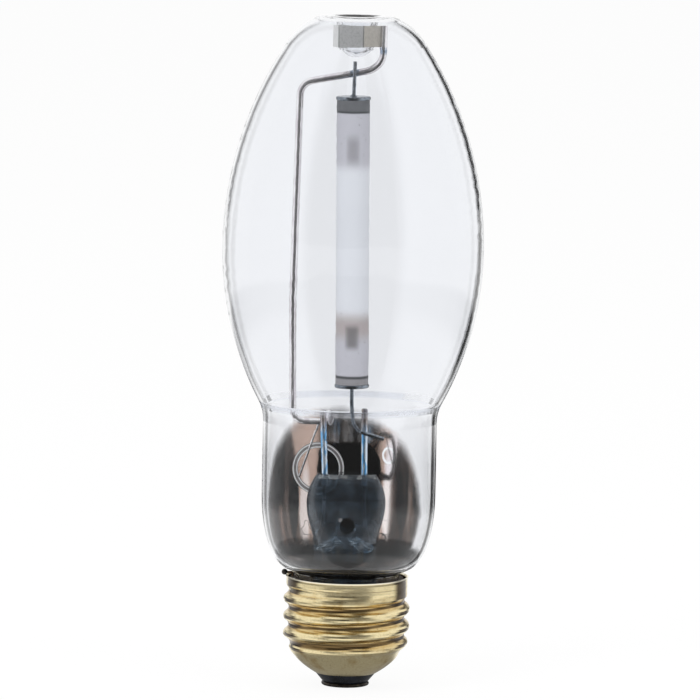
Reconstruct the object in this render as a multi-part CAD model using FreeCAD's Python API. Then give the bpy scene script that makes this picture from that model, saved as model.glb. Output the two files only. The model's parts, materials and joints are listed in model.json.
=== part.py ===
import FreeCAD, Part
import math
import os

from FreeCAD import Vector

# High pressure sodium lamp, clear ED17 envelope on a medium (E26) screw cap.
# Millimetres. Z runs up the lamp's axis from the lowest point of the centre contact, X to the right
# and Y away from the reader. The lamp stands on its cap with its dome up.

UP = Vector(0, 0, 1)
FULL_TURN = 2 * math.pi

# Glass envelope: its sides are long rounds that turn in above and below the widest place, and shorter
# rounds run on from them into the dome and down towards the neck
LAMP_LENGTH = 139.1
WALL = 0.95
BULB_R = 26.97
WIDEST_Z = 91.1
UPPER_SIDE_ROUND = 77.4
UPPER_SIDE_TURN = math.radians(32.9)
DOME_ROUND = 16.0
LOWER_SIDE_ROUND = 66.9
LOWER_SIDE_TURN = math.radians(29.6)
TAPER_ROUND = 20.2
NECK_R = 17.98
NECK_FILLET = 9.1
BOWL_Z = 40.0
BOWL_REACH = 5.9
BOWL_DEPTH = 15.4
COLLAR_R = 10.9
SEAL_Z = 15.5

# The dimple pressed into the dome, which carries the upper end of the mount
CREST_ROUND = 4.8
PIT_R = 3.15
PIT_MOUTH_ROUND = 2.2
PIT_END_Z = 131.35
PIT_END_DEPTH = 3.2

# Screw shell: thin brass with the E26 lamp thread rolled into it, seven turns to the inch
PITCH = 25.4 / 7
CREST_RADIUS = 13.1
ROOT_RADIUS = 12.0
CREST_Z_AT_X = 12.8
SHELL_THICKNESS = 0.3
SHELL_RIM_Z = 23.1
RIM_FLARE = 0.2
RIM_FLARE_HEIGHT = 0.6
LIP_R = 6.5
LIP_Z = 2.95
CONE_TOP_R = 11.2
CONE_TOP_Z = 7.1
CONE_BULGE = 0.55
THREAD_FOOT_Z = 10.6
# Heights between which the crest and the groove grow from nothing, and die away again
CREST_GROWS = (6.2, 9.6)
CREST_FADES = (18.4, 20.0)
GROOVE_GROWS = (5.6, 9.6)
GROOVE_FADES = (20.1, 21.4)
BANDS_PER_PITCH = 10
CONE_BANDS = 7
POINTS_ROUND_SHELL = 24

# Insulator, contact, solder and cement of the cap
INSULATOR_TOP_Z = 5.0
INSULATOR_FOOT_R = 4.7
LEAD_HOLE_R = 1.5
CONTACT_R = 4.95
CONTACT_TOP_Z = 1.0
CONTACT_EDGE_Z = 0.22
CONTACT_HOLE_R = 1.1
CONTACT_HOLE_Z = 0.05
SOLDER_R = 1.8
SOLDER_FLAT_R = 1.0
CEMENT_Z = (16.2, 22.7)
SIDE_SOLDER_R = 0.62
SIDE_SOLDER = Vector(-12.95, 0, 23.6)

# Stem: flare tube, press, exhaust tube and its blow hole, on an axis a little left of the lamp's
STEM_X = -0.5
FLARE_R = 6.65
STEM_WALL = 1.0
FLARE_BEND = 2.85
FLARE_RIM_R = 10.4
HOLLOW_SIDE_Z = 28.6
HOLLOW_TOP_Z = 31.6
PRESS_FOOT_Z = 29.5
# Height, half width, half thickness and squareness of each section of the press above its round foot
PRESS = (
    (33.6, 7.4, 4.9, 2.3),
    (38.6, 8.15, 3.3, 3.2),
    (42.5, 7.2, 3.1, 3.6),
    (44.4, 6.0, 2.3, 3.4),
)
PRESS_POINTS = 20
EXHAUST_R = 2.5
EXHAUST_BORE_R = 1.6
EXHAUST_TOP_Z = 33.0
EXHAUST_TIP_Z = 9.5
BLOW_HOLE = Vector(-0.2, 0, 34.1)
BLOW_HOLE_R = 1.45

# Lead posts, the seal wires below them and the outer leads in the cap
POST_R = 0.67
POST_FOOT_Z = 42.0
POST_Y = -0.62
LEFT_POST = (Vector(-4.88, POST_Y, POST_FOOT_Z), Vector(-5.6, POST_Y, 57.8))
RIGHT_POST = (Vector(3.16, POST_Y, POST_FOOT_Z), Vector(2.99, POST_Y, 58.2))
SEAL_WIRE_R = 0.35
SEAL_WIRE_FOOT_Z = 26.0
OUTER_LEAD_R = 0.25
SIDE_LEAD = (
    Vector(-5.0, -0.5, 13.2),
    Vector(-11.29, 0, 13.2),
    Vector(-11.29, 0, 23.55),
    Vector(-12.9, 0, 23.55),
)
SIDE_LEAD_BENDS = (1.5, 1.2, 0.4)
CENTRE_LEAD = (Vector(3.3, -0.4, 8.6), Vector(0, 0, 5.8), Vector(0, 0, 0.6))
CENTRE_LEAD_BENDS = (2.0, 1.0)

# Arc tube of translucent alumina and its end parts, measured from each end of the tube
ARC_FOOT = Vector(0.25, -0.3, 63.2)
ARC_HEAD = Vector(-0.5, -0.3, 121.7)
ARC_R = 3.42
ARC_BORE_R = 2.75
UPPER_PLUG_LENGTH = 2.7
LOWER_PLUG_LENGTH = 2.2
END_CAP_R = 3.6
END_CAP_THICK = 0.75
END_BOSS_R = 0.85
END_BOSS_HEIGHT = 0.35
ROD_R = 0.42
ROD_DEPTH = 1.5
UPPER_ROD_TIP = 13.9
LOWER_ROD_TIP = 13.2
COIL_R = 1.1
COIL_TURNS = 6
COIL_LENGTH = 5.0
COIL_FROM_TIP = 0.4
NIOBIUM_R = 0.39
UPPER_NIOBIUM_TOP = Vector(-0.25, -0.35, 129.6)
LOWER_NIOBIUM = (
    Vector(0.32, -0.45, 58.6),
    Vector(0.75, -1.2, 54.9),
    Vector(2.3, -1.685, 53.25),
    Vector(7.1, -1.66, 51.87),
)
LOWER_NIOBIUM_BENDS = (6.0, 3.0, 3.0)
DOSE_R = 0.55
DOSE_FROM_AXIS = 1.5

# Frame wire with its flattened foot, dimple strap and getter
FRAME_R = 0.725
FRAME_Y = 0.77
FRAME = (
    Vector(-4.5, FRAME_Y, 55.3),
    Vector(-11.87, FRAME_Y, 55.3),
    Vector(-12.25, FRAME_Y, 80.0),
    Vector(-11.44, FRAME_Y, 125.0),
    Vector(5.6, FRAME_Y, 128.2),
    Vector(5.5, -0.8, 132.4),
    Vector(5.5, -0.8, 137.1),
)
FRAME_BENDS = (2.6, 60.0, 3.0, 4.4, 3.0)
FOOT_CENTRE = Vector(-4.2, 0.95, 56.05)
FOOT_HALF_LENGTH = 0.8
FOOT_HALF_HEIGHT = 1.6
FOOT_THICK = 0.7
FOOT_TURN = 35
STRAP_FLATS = 8.24
STRAP_THICK = 0.25
STRAP_Z = (132.65, 137.1)
STRAP_TURN = -14.5
STRAP_GAP = 0.4
GETTER_CENTRE = Vector(-6.45, 5.0, 44.7)
GETTER_R = 5.45
GETTER_WIDTH = 1.15
GETTER_DEPTH = 0.9
GETTER_SHEET = 0.2
GETTER_FILL = 0.35
GETTER_WIRE_R = 0.23
GETTER_WIRE = (Vector(-6.4, 0.85, 54.85), Vector(-10.45, 4.9, 42.85))


def line(*corners):
    """Straight edges through corners given as radius and height."""
    points = [Vector(r, 0, z) for r, z in corners]
    return [Part.LineSegment(a, b).toShape() for a, b in zip(points, points[1:])]


def arc(start, middle, end):
    """An arc through three points given as radius and height."""
    points = [Vector(r, 0, z) for r, z in (start, middle, end)]
    return [Part.Arc(*points).toShape()]


def around(centre, distance, angle):
    """The point at a distance and an angle from a centre, both points given as radius and height."""
    return centre[0] + distance * math.cos(angle), centre[1] + distance * math.sin(angle)


def fillet(centre, radius, start, end):
    """An arc of a circle in the profile's plane, from one angle to another."""
    return arc(*[around(centre, radius, angle) for angle in (start, (start + end) / 2, end)])


def ellipse_arc(centre_z, reach, rise, start, end, centre_r=0):
    """A stretch of a standing ellipse, from one parameter to another; a negative rise runs downwards."""
    centre = Vector(centre_r, 0, centre_z)

    def at(angle):
        return centre + Vector(reach * math.cos(angle), 0, rise * math.sin(angle))

    ends = [Vector(reach, 0, 0), Vector(0, 0, abs(rise))]
    ends.sort(key=lambda end: -end.Length)
    ellipse = Part.Ellipse(centre + ends[0], centre + ends[1], centre)
    first, middle, last = [ellipse.parameter(at(a)) for a in (start, (start + end) / 2, end)]
    low, high = min(first, last), max(first, last)
    if not low < middle < high:
        low, high = high, low + FULL_TURN
    return [Part.ArcOfEllipse(ellipse, low, high).toShape()]


def turned(edges):
    """The solid that a closed profile makes when it is turned about the Z axis."""
    return Part.Face(Part.Wire(edges)).revolve(Vector(0, 0, 0), UP, 360)


def rod(radius, start, end):
    """A straight round bar between two points."""
    return Part.makeCylinder(radius, start.distanceToPoint(end), start, end - start)


def along(shape, foot, head):
    """A shape built up the Z axis, stood at foot and leaned towards head."""
    shape.Placement = FreeCAD.Placement(foot, FreeCAD.Rotation(UP, head - foot))
    return shape


def bent_wire(radius, points, bends):
    """A round wire along straight runs, with a tangent arc of the given bend at each inner point."""
    edges = []
    start = points[0]
    for before, corner, after, bend in zip(points, points[1:], points[2:], bends):
        back = (before - corner).normalize()
        on = (after - corner).normalize()
        half = back.getAngle(on) / 2
        first = corner + back * (bend / math.tan(half))
        last = corner + on * (bend / math.tan(half))
        middle = corner + (back + on).normalize() * (bend / math.sin(half) - bend)
        edges.append(Part.LineSegment(start, first).toShape())
        edges.append(Part.Arc(first, middle, last).toShape())
        start = last
    edges.append(Part.LineSegment(start, points[-1]).toShape())
    section = Part.Face(Part.Wire(Part.Circle(points[0], points[1] - points[0], radius).toShape()))
    return Part.Wire(edges).makePipe(section)


def save(node, shape):
    """Write one sub-part."""
    shape.exportStep(os.path.join("parts", node + ".step"))


def dimple_profile(inset):
    """From the bottom of the pit up its wall, over the crest and down the dome to the widest place."""
    pit, top = PIT_R + inset, LAMP_LENGTH - inset
    end_z = PIT_END_Z + PIT_END_DEPTH
    mouth = (PIT_R + PIT_MOUTH_ROUND, LAMP_LENGTH - PIT_MOUTH_ROUND)
    side = (BULB_R - UPPER_SIDE_ROUND, WIDEST_Z)
    dome = around(side, UPPER_SIDE_ROUND - DOME_ROUND, UPPER_SIDE_TURN)
    up = LAMP_LENGTH - CREST_ROUND - dome[1]
    out = math.sqrt((DOME_ROUND - CREST_ROUND) ** 2 - up**2)
    crest = (dome[0] + out, dome[1] + up)
    meet = math.atan2(up, out)
    edges = ellipse_arc(end_z, pit, PIT_END_DEPTH + inset, -math.pi / 2, 0)
    edges += line((pit, end_z), (pit, mouth[1]))
    edges += fillet(mouth, PIT_MOUTH_ROUND - inset, math.pi, math.pi / 2)
    edges += line((mouth[0], top), (crest[0], top))
    edges += fillet(crest, CREST_ROUND - inset, math.pi / 2, meet)
    edges += fillet(dome, DOME_ROUND - inset, meet, UPPER_SIDE_TURN)
    return edges + fillet(side, UPPER_SIDE_ROUND - inset, UPPER_SIDE_TURN, 0)


def neck_profile(inset):
    """From the widest place down into the neck, round the bowl and down the collar to the seal."""
    side = (BULB_R - LOWER_SIDE_ROUND, WIDEST_Z)
    taper = around(side, LOWER_SIDE_ROUND - TAPER_ROUND, -LOWER_SIDE_TURN)
    out = NECK_R + NECK_FILLET - taper[0]
    down = math.sqrt((TAPER_ROUND + NECK_FILLET) ** 2 - out**2)
    bend = (taper[0] + out, taper[1] - down)
    meet = math.atan2(-down, out)
    edges = fillet(side, LOWER_SIDE_ROUND - inset, 0, -LOWER_SIDE_TURN)
    edges += fillet(taper, TAPER_ROUND - inset, -LOWER_SIDE_TURN, meet)
    edges += fillet(bend, NECK_FILLET + inset, math.pi + meet, math.pi)
    edges += line((NECK_R - inset, bend[1]), (NECK_R - inset, BOWL_Z))
    bowl_r = NECK_R - BOWL_REACH
    bowl_depth = BOWL_DEPTH - inset
    edges += ellipse_arc(BOWL_Z, BOWL_REACH - inset, -bowl_depth, 0, math.pi / 2, bowl_r)
    heel = bowl_r - COLLAR_R + inset
    heel_z = BOWL_Z - bowl_depth - heel
    edges += fillet((bowl_r, heel_z), heel, math.pi / 2, math.pi)
    foot = SEAL_Z - inset
    return edges + line((COLLAR_R - inset, heel_z), (COLLAR_R - inset, foot), (0, foot))


def glass_form(inset):
    """The envelope as a full solid, with its surface set in by inset."""
    edges = dimple_profile(inset) + neck_profile(inset)
    return turned(edges + line((0, SEAL_Z - inset), (0, PIT_END_Z - inset)))


def outer_bulb():
    """The blown envelope: dome and dimple, ovoid body, neck, bowl and the collar inside the cap."""
    return glass_form(0).cut(glass_form(WALL)).Solids[0]


def fade(value, limits):
    """0 below the limits and 1 above them, with a smooth step between."""
    t = min(max((value - limits[0]) / (limits[1] - limits[0]), 0), 1)
    return t * t * (3 - 2 * t)


def lower_radius(z):
    """Outer radius of the shell below the foot of the thread: a bulged cone, then a curve into the band."""
    band = (CREST_RADIUS + ROOT_RADIUS) / 2
    if z > CONE_TOP_Z:
        drop = max(THREAD_FOOT_Z - z, 0) / (THREAD_FOOT_Z - CONE_TOP_Z)
        return band - (band - CONE_TOP_R) * drop**1.5
    up = (z - LIP_Z) / (CONE_TOP_Z - LIP_Z)
    return LIP_R + (CONE_TOP_R - LIP_R) * up + 4 * CONE_BULGE * up * (1 - up)


def thread_wave(angle, z):
    """How far the rolled thread stands out of the plain band, or into it: crests and grooves are arcs."""
    height = (CREST_RADIUS - ROOT_RADIUS) / 2
    roll = ((PITCH / 4) ** 2 + height**2) / (2 * height)
    start_z = CREST_Z_AT_X + PITCH * angle / FULL_TURN
    turns = (z - start_z) / PITCH
    crest_z = start_z + PITCH * round(turns)
    groove_z = start_z + PITCH * (math.floor(turns) + 0.5)
    if abs(z - crest_z) < abs(z - groove_z):
        share = fade(crest_z, CREST_GROWS) * (1 - fade(crest_z, CREST_FADES))
        return share * (height - roll + math.sqrt(roll**2 - (z - crest_z) ** 2))
    share = fade(groove_z, GROOVE_GROWS) * (1 - fade(groove_z, GROOVE_FADES))
    return share * (roll - height - math.sqrt(roll**2 - (z - groove_z) ** 2))


def shell_radius(angle, z):
    """Outer radius of the shell at an angle round it and a height."""
    flare = RIM_FLARE * fade(z, (SHELL_RIM_Z - RIM_FLARE_HEIGHT, SHELL_RIM_Z))
    return lower_radius(z) + thread_wave(angle, z) + flare


def shell_section(z, thickness):
    """A closed curve round the shell, set in so that the sheet keeps its thickness on the slopes."""
    step = 0.02
    points = []
    for i in range(POINTS_ROUND_SHELL):
        angle = FULL_TURN * i / POINTS_ROUND_SHELL
        slope = (shell_radius(angle, z + step) - shell_radius(angle, z - step)) / (2 * step)
        r = shell_radius(angle, z) - thickness * math.hypot(1, slope)
        points.append(Vector(r * math.cos(angle), r * math.sin(angle), z))
    curve = Part.BSplineCurve()
    curve.interpolate(points, PeriodicFlag=True)
    return Part.Wire(curve.toShape())


def shell_form(thickness):
    """The shell as a full solid, lofted in narrow bands from its lip up to its rim."""
    count = round((SHELL_RIM_Z - CONE_TOP_Z) / PITCH * BANDS_PER_PITCH)
    heights = [LIP_Z + (CONE_TOP_Z - LIP_Z) * i / CONE_BANDS for i in range(CONE_BANDS)]
    heights += [CONE_TOP_Z + (SHELL_RIM_Z - CONE_TOP_Z) * i / count for i in range(count + 1)]
    return Part.makeLoft([shell_section(z, thickness) for z in heights], True, True)


def screw_shell():
    """Thin brass sheet with the thread rolled into both of its faces."""
    return shell_form(0).cut(shell_form(SHELL_THICKNESS)).Solids[0]


def base_insulator(shell):
    """Black glass cast into the shell's lower cone, with the hole for the centre lead."""
    middle = SHELL_THICKNESS / 2
    wall = [(lower_radius(z) - middle, z) for z in (LIP_Z, (LIP_Z + INSULATOR_TOP_Z) / 2, INSULATOR_TOP_Z)]
    edges = line((LEAD_HOLE_R, CONTACT_TOP_Z), (INSULATOR_FOOT_R, CONTACT_TOP_Z), wall[0])
    edges += arc(*wall)
    edges += line(wall[-1], (LEAD_HOLE_R, INSULATOR_TOP_Z), (LEAD_HOLE_R, CONTACT_TOP_Z))
    return turned(edges).cut(shell)


def centre_contact():
    """Domed brass disc with a hole at its centre for the lead."""
    middle_z = (CONTACT_TOP_Z + CONTACT_EDGE_Z) / 2
    lip = (CONTACT_TOP_Z - CONTACT_EDGE_Z) / 2
    edge = (CONTACT_R - lip, middle_z)
    edges = line((CONTACT_HOLE_R, CONTACT_HOLE_Z), (CONTACT_R - lip, CONTACT_EDGE_Z))
    edges += fillet(edge, lip, -math.pi / 2, math.pi / 2)
    edges += line((edge[0], CONTACT_TOP_Z), (CONTACT_HOLE_R, CONTACT_TOP_Z), (CONTACT_HOLE_R, CONTACT_HOLE_Z))
    return turned(edges)


def centre_solder(lead):
    """Solder that fills the contact's hole round the lead and stands as a flat drop below it."""
    slope = (CONTACT_EDGE_Z - CONTACT_HOLE_Z) / (CONTACT_R - CONTACT_HOLE_R)
    rim_z = CONTACT_HOLE_Z + slope * (SOLDER_R - CONTACT_HOLE_R)
    drop = ((SOLDER_FLAT_R + SOLDER_R) / 2 + 0.1, rim_z / 3)
    edges = line((0, 0), (SOLDER_FLAT_R, 0))
    edges += arc((SOLDER_FLAT_R, 0), drop, (SOLDER_R, rim_z))
    edges += line((SOLDER_R, rim_z), (CONTACT_HOLE_R, CONTACT_HOLE_Z), (CONTACT_HOLE_R, CONTACT_TOP_Z))
    edges += line((CONTACT_HOLE_R, CONTACT_TOP_Z), (0, CONTACT_TOP_Z), (0, 0))
    return turned(edges).cut(lead)


def basing_cement(lead):
    """Ring of cement between the collar and the shell, round the side lead."""
    outer = ROOT_RADIUS - SHELL_THICKNESS
    low, high = CEMENT_Z
    ring = turned(line((COLLAR_R, low), (outer, low), (outer, high), (COLLAR_R, high), (COLLAR_R, low)))
    return ring.cut(lead)


def side_solder(*neighbours):
    """Drop of solder that joins the side lead to the rim."""
    drop = Part.makeSphere(SIDE_SOLDER_R, SIDE_SOLDER)
    for other in neighbours:
        drop = drop.cut(other)
    return drop.Solids[0]


def flare_tube():
    """The stem's tube, flared out at its foot to the rim that is sealed to the envelope's collar."""
    bend_r = FLARE_R + FLARE_BEND
    bend_z = SEAL_Z + FLARE_BEND
    rim_z = SEAL_Z - STEM_WALL
    bore = FLARE_R - STEM_WALL
    edges = line((bore, HOLLOW_SIDE_Z), (bore, bend_z))
    edges += fillet((bend_r, bend_z), FLARE_BEND + STEM_WALL, math.pi, 1.5 * math.pi)
    edges += line((bend_r, rim_z), (FLARE_RIM_R, rim_z), (FLARE_RIM_R, SEAL_Z), (bend_r, SEAL_Z))
    edges += fillet((bend_r, bend_z), FLARE_BEND, 1.5 * math.pi, math.pi)
    edges += line((FLARE_R, bend_z), (FLARE_R, PRESS_FOOT_Z), (0, PRESS_FOOT_Z), (0, HOLLOW_SIDE_Z))
    edges += line((0, HOLLOW_SIDE_Z), (bore, HOLLOW_SIDE_Z))
    return turned(edges)


def press_section(z, half_width, half_thickness, squareness):
    """A closed curve between an ellipse and a rectangle."""
    points = []
    for i in range(PRESS_POINTS):
        c = math.cos(FULL_TURN * i / PRESS_POINTS)
        s = math.sin(FULL_TURN * i / PRESS_POINTS)
        size = (abs(c) ** squareness + abs(s) ** squareness) ** (-1 / squareness)
        points.append(Vector(half_width * c * size, half_thickness * s * size, z))
    curve = Part.BSplineCurve()
    curve.interpolate(points, PeriodicFlag=True)
    return Part.Wire(curve.toShape())


def stem_glass(*inserts):
    """Flare tube and press in one, with its hollow, its blow hole and the seats of all that it holds."""
    foot = Part.Wire(Part.Circle(Vector(0, 0, PRESS_FOOT_Z), UP, FLARE_R).toShape())
    press = Part.makeLoft([foot] + [press_section(*section) for section in PRESS], True)
    bore = FLARE_R - STEM_WALL
    rise = HOLLOW_TOP_Z - HOLLOW_SIDE_Z
    dome_r = (bore**2 + rise**2) / (2 * rise)
    dome = Part.makeSphere(dome_r, Vector(0, 0, HOLLOW_TOP_Z - dome_r))
    hollow = dome.common(Part.makeCylinder(bore, rise, Vector(0, 0, HOLLOW_SIDE_Z)))
    stem = flare_tube().fuse(press).cut(hollow)
    stem.translate(Vector(STEM_X, 0, 0))
    chamber_foot = Vector(STEM_X, 0, EXHAUST_TOP_Z)
    stem = stem.cut(rod(EXHAUST_BORE_R, chamber_foot, Vector(STEM_X, 0, BLOW_HOLE.z)))
    stem = stem.cut(rod(BLOW_HOLE_R, BLOW_HOLE, BLOW_HOLE - Vector(0, FLARE_R, 0)))
    for insert in inserts:
        stem = stem.cut(insert)
    return stem.Solids[0]


def exhaust_tube():
    """Glass tube up into the press, open to the blow hole and tipped off to a round end below."""
    wall = EXHAUST_R - EXHAUST_BORE_R
    tip_z = EXHAUST_TIP_Z + EXHAUST_R
    edges = fillet((0, tip_z), EXHAUST_R, -math.pi / 2, 0)
    edges += line((EXHAUST_R, tip_z), (EXHAUST_R, EXHAUST_TOP_Z), (EXHAUST_BORE_R, EXHAUST_TOP_Z))
    edges += line((EXHAUST_BORE_R, EXHAUST_TOP_Z), (EXHAUST_BORE_R, tip_z))
    edges += fillet((0, tip_z), EXHAUST_BORE_R, 0, -math.pi / 2)
    edges += line((0, EXHAUST_TIP_Z + wall), (0, EXHAUST_TIP_Z))
    tube = turned(edges)
    tube.translate(Vector(STEM_X, 0, 0))
    return tube


def lead_post(ends):
    """Thick straight wire with a rounded top."""
    post = rod(POST_R, *ends)
    top = [e for e in post.Edges if e.isClosed() and e.CenterOfMass.distanceToPoint(ends[1]) < POST_R]
    return post.makeFillet(POST_R / 2, top)


def seal_wire(post_ends):
    """Thin wire straight down from the foot of a post, through the press into the flare tube."""
    top = post_ends[0]
    return rod(SEAL_WIRE_R, top, Vector(top.x, top.y, SEAL_WIRE_FOOT_Z))


def outer_lead(post_ends, route, bends):
    """Thin wire from the foot of a seal wire, through the cap to where it is soldered."""
    top = post_ends[0]
    return bent_wire(OUTER_LEAD_R, [Vector(top.x, top.y, SEAL_WIRE_FOOT_Z), *route], bends)


def end_plug(length, *inserts):
    """Alumina plug inside one end of the arc tube, built up from the tube's end face."""
    plug = Part.makeCylinder(ARC_BORE_R, length)
    for insert in inserts:
        plug = plug.cut(insert)
    return plug


def end_cap():
    """Niobium disc on one end of the arc tube, with a small boss of solder for the lead."""
    disc = Part.makeCylinder(END_CAP_R, END_CAP_THICK, Vector(0, 0, -END_CAP_THICK))
    boss_z = -END_CAP_THICK - END_BOSS_HEIGHT
    boss = Part.makeCone(NIOBIUM_R, END_BOSS_R, END_BOSS_HEIGHT, Vector(0, 0, boss_z))
    return disc.makeFillet(END_CAP_THICK / 3, disc.Edges).fuse(boss)


def electrode_rod(tip):
    """Tungsten rod from inside the plug to its rounded tip."""
    pin = Part.makeCylinder(ROD_R, tip - ROD_DEPTH, Vector(0, 0, ROD_DEPTH))
    end = [e for e in pin.Edges if e.isClosed() and e.CenterOfMass.z > tip - ROD_R]
    return pin.makeFillet(ROD_R / 2, end)


def electrode_coil(tip):
    """Close winding of tungsten wire on the rod, drawn as a sleeve with a ridge for each turn."""
    turn = COIL_LENGTH / COIL_TURNS
    low = tip - COIL_FROM_TIP - COIL_LENGTH
    waist = COIL_R - turn / 2
    edges = line((ROD_R, low + COIL_LENGTH), (ROD_R, low), (waist, low))
    for i in range(COIL_TURNS):
        edges += fillet((waist, low + turn * (i + 0.5)), turn / 2, -math.pi / 2, math.pi / 2)
    edges += line((waist, low + COIL_LENGTH), (ROD_R, low + COIL_LENGTH))
    return turned(edges)


def arc_tube_parts():
    """The arc tube with the plug, cap, lead and electrode of each end, in place on the lamp."""
    length = ARC_FOOT.distanceToPoint(ARC_HEAD)
    tube = Part.makeCylinder(ARC_R, length).cut(Part.makeCylinder(ARC_BORE_R, length))
    axis = (ARC_HEAD - ARC_FOOT).normalize()
    upper_lead = rod(NIOBIUM_R, ARC_HEAD - axis * (ROD_DEPTH - 0.1), UPPER_NIOBIUM_TOP)
    lower_start = ARC_FOOT + axis * (ROD_DEPTH - 0.1)
    lower_lead = bent_wire(NIOBIUM_R, [lower_start, *LOWER_NIOBIUM], LOWER_NIOBIUM_BENDS)
    parts = {
        "arc_tube": along(tube, ARC_FOOT, ARC_HEAD),
        "upper_niobium_lead": upper_lead,
        "lower_niobium_lead": lower_lead,
    }
    ends = (
        ("upper", ARC_HEAD, ARC_FOOT, UPPER_PLUG_LENGTH, UPPER_ROD_TIP, upper_lead),
        ("lower", ARC_FOOT, ARC_HEAD, LOWER_PLUG_LENGTH, LOWER_ROD_TIP, lower_lead),
    )
    for end, near, far, plug_length, tip, lead in ends:
        pin = electrode_rod(tip)
        parts[end + "_end_plug"] = along(end_plug(plug_length, pin), near, far).cut(lead)
        parts[end + "_electrode_coil"] = along(electrode_coil(tip), near, far)
        parts[end + "_electrode_rod"] = along(pin, near, far)
        parts[end + "_end_cap"] = along(end_cap(), near, far).cut(lead)
    rest = Vector(DOSE_FROM_AXIS, 0, LOWER_PLUG_LENGTH)
    drop = Part.makeSphere(DOSE_R, rest)
    drop = drop.common(Part.makeBox(9, 9, 9, Vector(0, -4.5, LOWER_PLUG_LENGTH)))
    parts["amalgam_dose"] = along(drop, ARC_FOOT, ARC_HEAD)
    return parts


def frame_wire():
    """The wire that carries current up to the arc tube, with its end flattened behind the left post."""
    wire = bent_wire(FRAME_R, FRAME, FRAME_BENDS)
    outline = Part.Ellipse(Vector(0, 0, FOOT_HALF_HEIGHT), Vector(FOOT_HALF_LENGTH, 0, 0), Vector(0, 0, 0))
    blank = Part.Face(Part.Wire(outline.toShape()))
    blank.translate(Vector(0, -FOOT_THICK / 2, 0))
    foot = blank.extrude(Vector(0, FOOT_THICK, 0))
    foot.rotate(Vector(0, 0, 0), UP, FOOT_TURN)
    foot.translate(FOOT_CENTRE)
    return wire.fuse(foot)


def dimple_strap():
    """Six-sided band round the dimple, open where its two ends are welded to the frame wire."""
    low, high = STRAP_Z

    def prism(flats):
        corner = flats / math.sqrt(3)
        turns = [math.radians(STRAP_TURN + 60 * i) for i in range(7)]
        corners = [Vector(corner * math.cos(a), corner * math.sin(a), low) for a in turns]
        return Part.Face(Part.makePolygon(corners)).extrude(Vector(0, 0, high - low))

    band = prism(STRAP_FLATS + 2 * STRAP_THICK).cut(prism(STRAP_FLATS))
    end = FRAME[-1]
    middle_z = Vector(0, 0, (low + high) / 2)
    slot = Part.makeBox(end.x, STRAP_GAP, high - low, Vector(0, -STRAP_GAP / 2, low))
    slot.rotate(middle_z, UP, math.degrees(math.atan2(end.y, end.x)))
    return band.cut(slot)


def getter_parts():
    """Ring of channel section that faces the back of the neck, with what is left of its filling."""
    outer, inner = GETTER_R, GETTER_R - GETTER_WIDTH
    t = GETTER_SHEET
    top = GETTER_DEPTH
    channel = turned(
        line(
            (inner, 0), (outer, 0), (outer, top), (outer - t, top), (outer - t, t),
            (inner + t, t), (inner + t, top), (inner, top), (inner, 0),
        )
    )
    low, high = inner + t, outer - t
    fill_z = t + GETTER_FILL
    fill = turned(line((low, t), (high, t), (high, fill_z), (low, fill_z), (low, t)))
    back = GETTER_CENTRE + Vector(0, 1, 0)
    return along(channel, GETTER_CENTRE, back), along(fill, GETTER_CENTRE, back)


def build():
    """Every sub-part of the lamp by name."""
    parts = arc_tube_parts()
    posts = {"left": LEFT_POST, "right": RIGHT_POST}
    for side, ends in posts.items():
        parts[side + "_lead_post"] = lead_post(ends)
        parts[side + "_seal_wire"] = seal_wire(ends)
    parts["side_lead_wire"] = outer_lead(LEFT_POST, SIDE_LEAD, SIDE_LEAD_BENDS)
    parts["centre_lead_wire"] = outer_lead(RIGHT_POST, CENTRE_LEAD, CENTRE_LEAD_BENDS)
    parts["exhaust_tube"] = exhaust_tube()
    held = ("left_lead_post", "right_lead_post", "left_seal_wire", "right_seal_wire")
    exhaust_seat = rod(EXHAUST_R, Vector(STEM_X, 0, EXHAUST_TOP_Z - 5), Vector(STEM_X, 0, EXHAUST_TOP_Z))
    parts["stem_glass"] = stem_glass(exhaust_seat, *[parts[name] for name in held])
    parts["outer_bulb"] = outer_bulb()
    parts["frame_wire"] = frame_wire()
    parts["dimple_strap"] = dimple_strap()
    parts["getter_ring"], parts["getter_fill"] = getter_parts()
    getter_wire = rod(GETTER_WIRE_R, *GETTER_WIRE)
    parts["getter_wire"] = getter_wire.cut(parts["frame_wire"]).cut(parts["getter_ring"])
    shell = screw_shell()
    parts["screw_shell"] = shell
    parts["base_insulator"] = base_insulator(shell)
    parts["centre_contact"] = centre_contact()
    parts["centre_solder"] = centre_solder(parts["centre_lead_wire"])
    parts["basing_cement"] = basing_cement(parts["side_lead_wire"])
    parts["side_solder"] = side_solder(shell, parts["side_lead_wire"], parts["outer_bulb"])
    return parts


os.makedirs("parts", exist_ok=True)
for node, shape in build().items():
    save(node, shape)
    print(node, shape.isValid(), len(shape.Solids), round(shape.Volume, 2))
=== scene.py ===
import json
import math

import bmesh
import bpy
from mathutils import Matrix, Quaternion, Vector

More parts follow.
